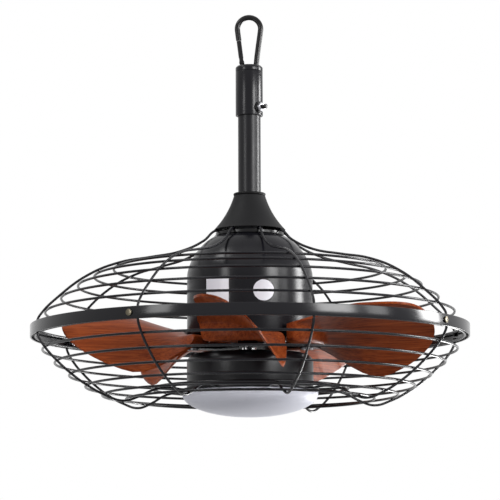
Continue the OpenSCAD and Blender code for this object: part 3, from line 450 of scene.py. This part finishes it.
soft_lamp("left_box", -45, 2.4, 0.1, 0.5, 0.9, 15)
soft_lamp("right_box", 42, 2.4, 0.1, 0.8, 0.9, 50)
soft_lamp("right_side", 65, 2.4, 0.1, 0.5, 0.9, 12)
soft_lamp("right_wall", 101, 2.2, 0.05, 0.6, 0.9, 58)
soft_lamp("top_box", 0, 1.5, 1.7, 2.2, 1.8, 8)
soft_lamp("top_left_box", -70, 1.6, 1.5, 0.8, 0.8, 22)
soft_lamp("low_back_box", 138, 2.5, -1.4, 1.2, 0.6, 66)
soft_lamp("low_left_box", -38, 2.4, -1.3, 0.8, 0.8, 11)


def shown_rays(tree):
    """1 for what the camera sees, also by way of metal or glass, and 0 for light that falls on pieces."""
    path = tree.nodes.new("ShaderNodeLightPath")
    shown = path.outputs["Is Camera Ray"]
    for kind in ("Is Glossy Ray", "Is Transmission Ray"):
        either = tree.nodes.new("ShaderNodeMath")
        either.operation = "MAXIMUM"
        tree.links.new(shown, either.inputs[0])
        tree.links.new(path.outputs[kind], either.inputs[1])
        shown = either.outputs["Value"]
    return shown


world = bpy.data.worlds.new("plain_studio")
world.use_nodes = True
bpy.context.scene.world = world
world_tree = world.node_tree
background = world_tree.nodes["Background"]
background.inputs["Color"].default_value = (1, 1, 1, 1)
strength = map_range(world_tree, shown_rays(world_tree), 0, 1, WORLD_FILL, 1.0)
world_tree.links.new(strength, background.inputs["Strength"])

bpy.context.scene.view_settings.view_transform = "Standard"


# Floor, far below the hanging fan, with its lengths in metres

FLOOR_Z = -5.0
FLOOR_R = 40.0
FLOOR_GLOW = 0.68


def pale_floor():
    bm = bmesh.new()
    bmesh.ops.create_circle(bm, cap_ends=True, segments=128, radius=FLOOR_R)
    bmesh.ops.translate(bm, vec=(0, 0, FLOOR_Z), verts=bm.verts[:])
    mesh = bpy.data.meshes.new("floor")
    bm.to_mesh(mesh)
    bm.free()
    material, tree, shader, place = start_material("pale_floor")
    shader.inputs["Base Color"].default_value = (0.8, 0.8, 0.8, 1)
    shader.inputs["Roughness"].default_value = 0.9
    shader.inputs["Specular IOR Level"].default_value = 0.1
    shader.inputs["Emission Color"].default_value = (1, 1, 1, 1)
    glow = map_range(tree, shown_rays(tree), 0, 1, 0, FLOOR_GLOW)
    tree.links.new(glow, shader.inputs["Emission Strength"])
    mesh.materials.append(material)
    floor = bpy.data.objects.new("floor", mesh)
    bpy.context.scene.collection.objects.link(floor)


pale_floor()


# Hook and hanger


def hook():
    """The hook's rod: up from the cap on the right, round the top and down to the nose."""
    radius = (HOOK_IN_W + HOOK_WIRE) / 2
    centre = Vector((0, HOOK_WIRE / 2 - radius))
    foot = Vector((HOOK_LEG_GAP / 2, CAP_TOP))
    reach = foot - centre
    start = math.atan2(reach.y, reach.x) + math.acos(radius / reach.length)
    steps = 24
    turns = [start + (math.pi - 2 * start) * i / steps for i in range(steps + 1)]
    arc = [centre + radius * Vector((math.cos(turn), math.sin(turn))) for turn in turns]
    left_way = (Vector((-foot.x, foot.y)) - arc[-1]).normalized()
    points = [foot - Vector((0, HOOK_LEG_SET)), foot, *arc, arc[-1] + NOSE_LEN * left_way]
    path = [(p.x, 0, p.y) for p in points]
    bent_wires("snap_hook", [path], HOOK_WIRE, BODY, BLACK_GLOSS, ["hook_frame"], 4)


def top_cap():
    plug_low = SLEEVE_TOP - CAP_PLUG_H + FIT
    cap = turned([
        (0, CAP_TOP), (SLEEVE_R - CAP_BEVEL, CAP_TOP), (SLEEVE_R, CAP_TOP - CAP_BEVEL),
        (SLEEVE_R, SLEEVE_TOP), (ROD_R, SLEEVE_TOP), (ROD_R, plug_low), (0, plug_low),
    ])
    round_edges(cap, 0.7)
    piece("top_cap", cap, BODY, BLACK, ["hanger_cap"])


def shoulder(side, top, radius, steps=12):
    """A quarter round of (radius, height) from the top of a turned shell to its side."""
    turns = [math.pi / 2 * (1 - i / steps) for i in range(steps + 1)]
    return [(side - radius * (1 - math.cos(a)), top - radius * (1 - math.sin(a))) for a in turns]


def pan():
    """The light's pan, a turned shell with a rounded shoulder and a ledge inside its rim."""
    inside = PAN_R - PAN_WALL
    ledge = PAN_LOW + LEDGE_UP
    shell = turned([
        (PAN_HOLE_R, PAN_TOP), *shoulder(PAN_R, PAN_TOP, PAN_ROUND),
        (PAN_R, PAN_LOW), (inside, PAN_LOW), (inside, ledge), (LEDGE_R, ledge),
        (LEDGE_R, ledge + LEDGE_T), (inside, ledge + LEDGE_T),
        *reversed(shoulder(inside, PAN_TOP - PAN_WALL, PAN_ROUND - PAN_WALL)),
        (PAN_HOLE_R, PAN_TOP - PAN_WALL),
    ])
    round_edges(shell, 0.5)
    piece("pan_shell", shell, BODY, PAN_BLACK, ["light_pan"])


def band(name, outer, inner, top, low, edge, material, node):
    """A plain ring with rounded edges. Its bolt holes stay hidden under heads and washers."""
    bm = turned([(outer, top), (outer, low), (inner, low), (inner, top)])
    round_edges(bm, edge)
    piece(name, bm, BODY, material, [node])


hook()
top_cap()
pan()
band(
    "outer_sleeve", SLEEVE_R, ROD_R + FIT, SLEEVE_TOP, SLEEVE_TOP - SLEEVE_LEN, 0.6,
    BLACK, "hanger_sleeve",
)
band(
    "hoop_band", HOOP_IN_R + HOOP_T, HOOP_IN_R, HOOP_Z + HOOP_H / 2, HOOP_Z - HOOP_H / 2, 0.5,
    BAND_BLACK, "guard_hoop",
)


# Guard wires

UPPER_SHARES = [
    (0, 0), (0.068, 0.112), (0.202, 0.233), (0.371, 0.303), (0.544, 0.369), (0.721, 0.512),
    (0.891, 0.757), (0.98, 0.93), (1, 1),
]
LOWER_SHARES = [
    (0, 0), (0.007, 0.062), (0.056, 0.272), (0.131, 0.495), (0.232, 0.741), (0.346, 0.96),
    (0.469, 1.135), (0.592, 1.234), (0.699, 1.152), (0.801, 1.022), (0.903, 0.972), (1, 1),
]


def ribs(name, first, start, end, shares, last, node):
    """Ribs from a first point over a curve, given as shares of its way out and down, to a last point."""
    curve = [(start[0] + (end[0] - start[0]) * s, start[1] + (end[1] - start[1]) * t) for s, t in shares]
    paths = [
        [polar(r, RIB_TURN + 360 / RIB_COUNT * i, z) for r, z in [first, *curve, last]]
        for i in range(RIB_COUNT)
    ]
    bent_wires(name, paths, GUARD_WIRE, BODY, BLACK, [node], 6)


rib_start = (COLLAR_R + GUARD_WIRE / 2, COLLAR_TOP + GUARD_WIRE / 2 + FIT)
ribs(
    "upper_ribs", (rib_start[0] - 2.5 * GUARD_WIRE, rib_start[1]), rib_start,
    (RIB_END_R, HOOP_Z + HOOP_H / 2 + 0.5), UPPER_SHARES, (RIB_END_R, HOOP_Z + 1), "upper_guard_ribs",
)
low_end_z = PAN_LOW - LOWER_COLLAR_T / 2
ribs(
    "lower_ribs", (RIB_END_R, HOOP_Z - 1), (RIB_END_R, HOOP_Z - HOOP_H / 2 - 0.5),
    (LOWER_COLLAR_R + GUARD_WIRE / 2 + 0.4, low_end_z), LOWER_SHARES,
    (LOWER_COLLAR_R + FIT, low_end_z), "lower_guard_ribs",
)


# Blades

TIP_R, INNER_R, ROOT_R = 244.5, 64.0, 85.0
HIGH_W, LOW_W = 62.0, 49.0
TIP_LEN_HIGH, TIP_LEN_LOW = 62.0, 141.0
INNER_SHARE, ROOT_SHARE, FLARE_LEN = 0.45, 0.83, 28.0
ROOT_PITCH, TIP_PITCH, TWIST_LEN = 12.0, 42.0, 108.0
CAMBER_R, BLADE_RISE, BLADE_T = 63.0, 4.0, 3.2
ROOT_UP = 13.3
ROOT_Z = FLYWHEEL_TOP + ROOT_UP
BLOCK_H = 11.0
BLOCK_LOW = FLYWHEEL_TOP + FIT
BLOCK_TOP = BLOCK_LOW + BLOCK_H
BLOCK_R, BLOCK_EDGE = 104.0, 9.0
BLOCK_ROUND, ROUND_SHARE = 9.0, 0.42
BLADE_ROWS, BLADE_COLUMNS = 56, 28


def smooth_step(x):
    share = min(max(x, 0), 1)
    return share * share * (3 - 2 * share)


def sheet_z(x, u):
    """Height of the blade's middle at x, from the high edge to the low edge, and u, out along it."""
    b = smooth_step((u - INNER_R) / TWIST_LEN)
    slopes = [math.tan(math.radians(pitch)) for pitch in (ROOT_PITCH, TIP_PITCH)]
    slope = slopes[0] + (slopes[1] - slopes[0]) * b
    return ROOT_Z + BLADE_RISE * b - x * slope - x * x * (0.15 + 0.85 * b) / (2 * CAMBER_R)


def block_side(x, s, up):
    """Height of the root block's upper or lower side, which is rounded towards both edges."""
    half = (HIGH_W if x < 0 else LOW_W) * width_share(s)
    over = min(max(1 - (half - abs(x)) / BLOCK_ROUND, 0), 1)
    drop = ROUND_SHARE * BLOCK_H * (1 - math.sqrt(1 - over * over))
    return (BLOCK_TOP if up > 0 else BLOCK_LOW) - up * drop


def blade_side(x, u, up):
    """Height of the upper side, up = 1, or the lower side, up = -1, with the root block in it."""
    s = math.hypot(x, u)
    sheet = sheet_z(x, u) + up * BLADE_T / 2
    block = block_side(x, s, up)
    if s < ROOT_R - 0.01:
        return block
    share = 1 - smooth_step((s - BLOCK_R + BLOCK_EDGE) / BLOCK_EDGE)
    return sheet + up * share * max(up * (block - sheet), 0)


def edge_w(c):
    return (HIGH_W if c < 0 else LOW_W) * c


def tip_radius(c):
    """Distance of the tip's outline from the fan's axis at a share across the blade."""
    length = TIP_LEN_HIGH if c < 0 else TIP_LEN_LOW
    return math.hypot(edge_w(c), TIP_R - length * (1 - math.sqrt(max(1 - c * c, 0))))


def width_share(s):
    if s < ROOT_R:
        return INNER_SHARE + (ROOT_SHARE - INNER_SHARE) * (s - INNER_R) / (ROOT_R - INNER_R)
    return ROOT_SHARE + (1 - ROOT_SHARE) * math.sin(math.pi / 2 * min((s - ROOT_R) / FLARE_LEN, 1))


def blade_row(t, c):
    """Radius of a row of points, whose first six rows are on the root block."""
    block_rows = (0, 0.3, 0.6, 0.85, 0.95, 0.9995)
    if t < len(block_rows):
        return INNER_R + (ROOT_R - INNER_R) * block_rows[t]
    share = (t - len(block_rows)) / (BLADE_ROWS - len(block_rows))
    share = 0.4 * share + 0.6 * share * share * (1.6 - 0.6 * share)
    return ROOT_R + (tip_radius(c) - ROOT_R) * share


def blade(index):
    azimuth = BLADE_TURN + 360 / BLADE_COUNT * index
    bm = bmesh.new()
    for up in (1, -1):
        before = set(bm.verts)
        bmesh.ops.create_grid(bm, x_segments=BLADE_COLUMNS, y_segments=BLADE_ROWS, size=1)
        for vert in set(bm.verts) - before:
            c = math.sin(math.pi / 2 * vert.co.x)
            s = blade_row(round((vert.co.y + 1) / 2 * BLADE_ROWS), c)
            x = edge_w(c) * width_share(s)
            u = math.sqrt(s * s - x * x)
            vert.co = (x * MM, -u * MM, blade_side(x, u, up) * MM)
    edges = [e for e in bm.edges if e.is_boundary]
    bmesh.ops.bridge_loops(bm, edges=edges)
    bmesh.ops.recalc_face_normals(bm, faces=bm.faces[:])
    round_edges(bm, 1.1, 3, 50)
    turn = Matrix.Rotation(math.radians(azimuth), 3, "Z")
    bmesh.ops.rotate(bm, cent=(0, 0, 0), matrix=turn, verts=bm.verts[:])
    name = "blade_%d" % (index + 1)
    wood = grained("lacquered_wood_%d" % (index + 1), azimuth)
    piece("wood_" + name, bm, ROTOR, wood, [name])


for index in range(BLADE_COUNT):
    blade(index)


# CAD shapes that only get rounded edges: piece, node, body, slot, finish, radius of the edges

ROUNDED = [
    ("spring_gate", "hook_gate", GATE, "black_frame", BLACK_GLOSS, 0.5),
    ("gate_foot", "gate_lug", BODY, "black_frame", BLACK_GLOSS, 0.3),
    ("rivet", "gate_rivet", BODY, "black_frame", BLACK_GLOSS, 0.3),
    ("cross_bolt", "sleeve_bolt", BODY, "black_frame", BLACK_GLOSS, 0.5),
    ("cross_bolt_nut", "sleeve_nut", BODY, "bright_steel", STEEL, 0.5),
    ("cross_bolt_washer", "sleeve_washer", BODY, "black_frame", BLACK_GLOSS, 0.4),
    ("cone_cover", "neck_cover", BODY, "black_frame", MATT_BLACK, 0.5),
    ("cover_shell", "motor_cover", BODY, "black_frame", BLACK, 0.6),
    ("top_collar", "upper_guard_collar", BODY, "black_frame", BLACK_GLOSS, 0.8),
    ("hoop_tab_set", "hoop_tabs", BODY, "black_frame", BLACK, 0.4),
    ("hoop_bolt_set", "hoop_bolts", BODY, "black_frame", BRONZE, 0.7),
    ("hoop_nut_set", "hoop_nuts", BODY, "bright_steel", STEEL, 0.4),
    ("low_collar", "lower_guard_collar", BODY, "black_frame", BLACK, 0.6),
    ("spinning_plate", "flywheel", ROTOR, "black_frame", BLACK, 0.6),
    ("opal_bowl", "light_diffuser", DISH, "opal_plastic", OPAL, 0.7),
    ("connector_set", "light_connector", BODY, "white_plastic", TERMINAL, 0.4),
]
for name, node, body, slot, material, edge in ROUNDED:
    rounded_copy(name, node, body, material, edge)


# Nodes that keep their CAD shape

KEPT = {
    BLACK: ["upper_guard_rings", "lower_guard_rings"],
    ROD_BLACK: ["downrod"],
    RUBBER: ["neck_bead"],
    STEEL: [
        "yoke_pin", "yoke_set_screws", "motor_shaft", "upper_bearing", "lower_bearing",
        "rotor_cage", "stator_core", "blade_screws", "upper_collar_screws",
        "lower_collar_screws", "pan_nut", "led_plate_screws",
    ],
    CAST: ["yoke"],
    ALUMINIUM: ["rotor_upper_shell", "rotor_lower_shell", "led_plate"],
    COPPER: ["stator_windings"],
    WHITE_FILM: ["rating_label", "round_label"],
    WHITE_PLASTIC: ["control_box", "light_leads", "led_board", "led_driver"],
}
for material, nodes in KEPT.items():
    for node in nodes:
        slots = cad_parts[node].data.materials
        for i in range(len(slots)):
            slots[i] = material
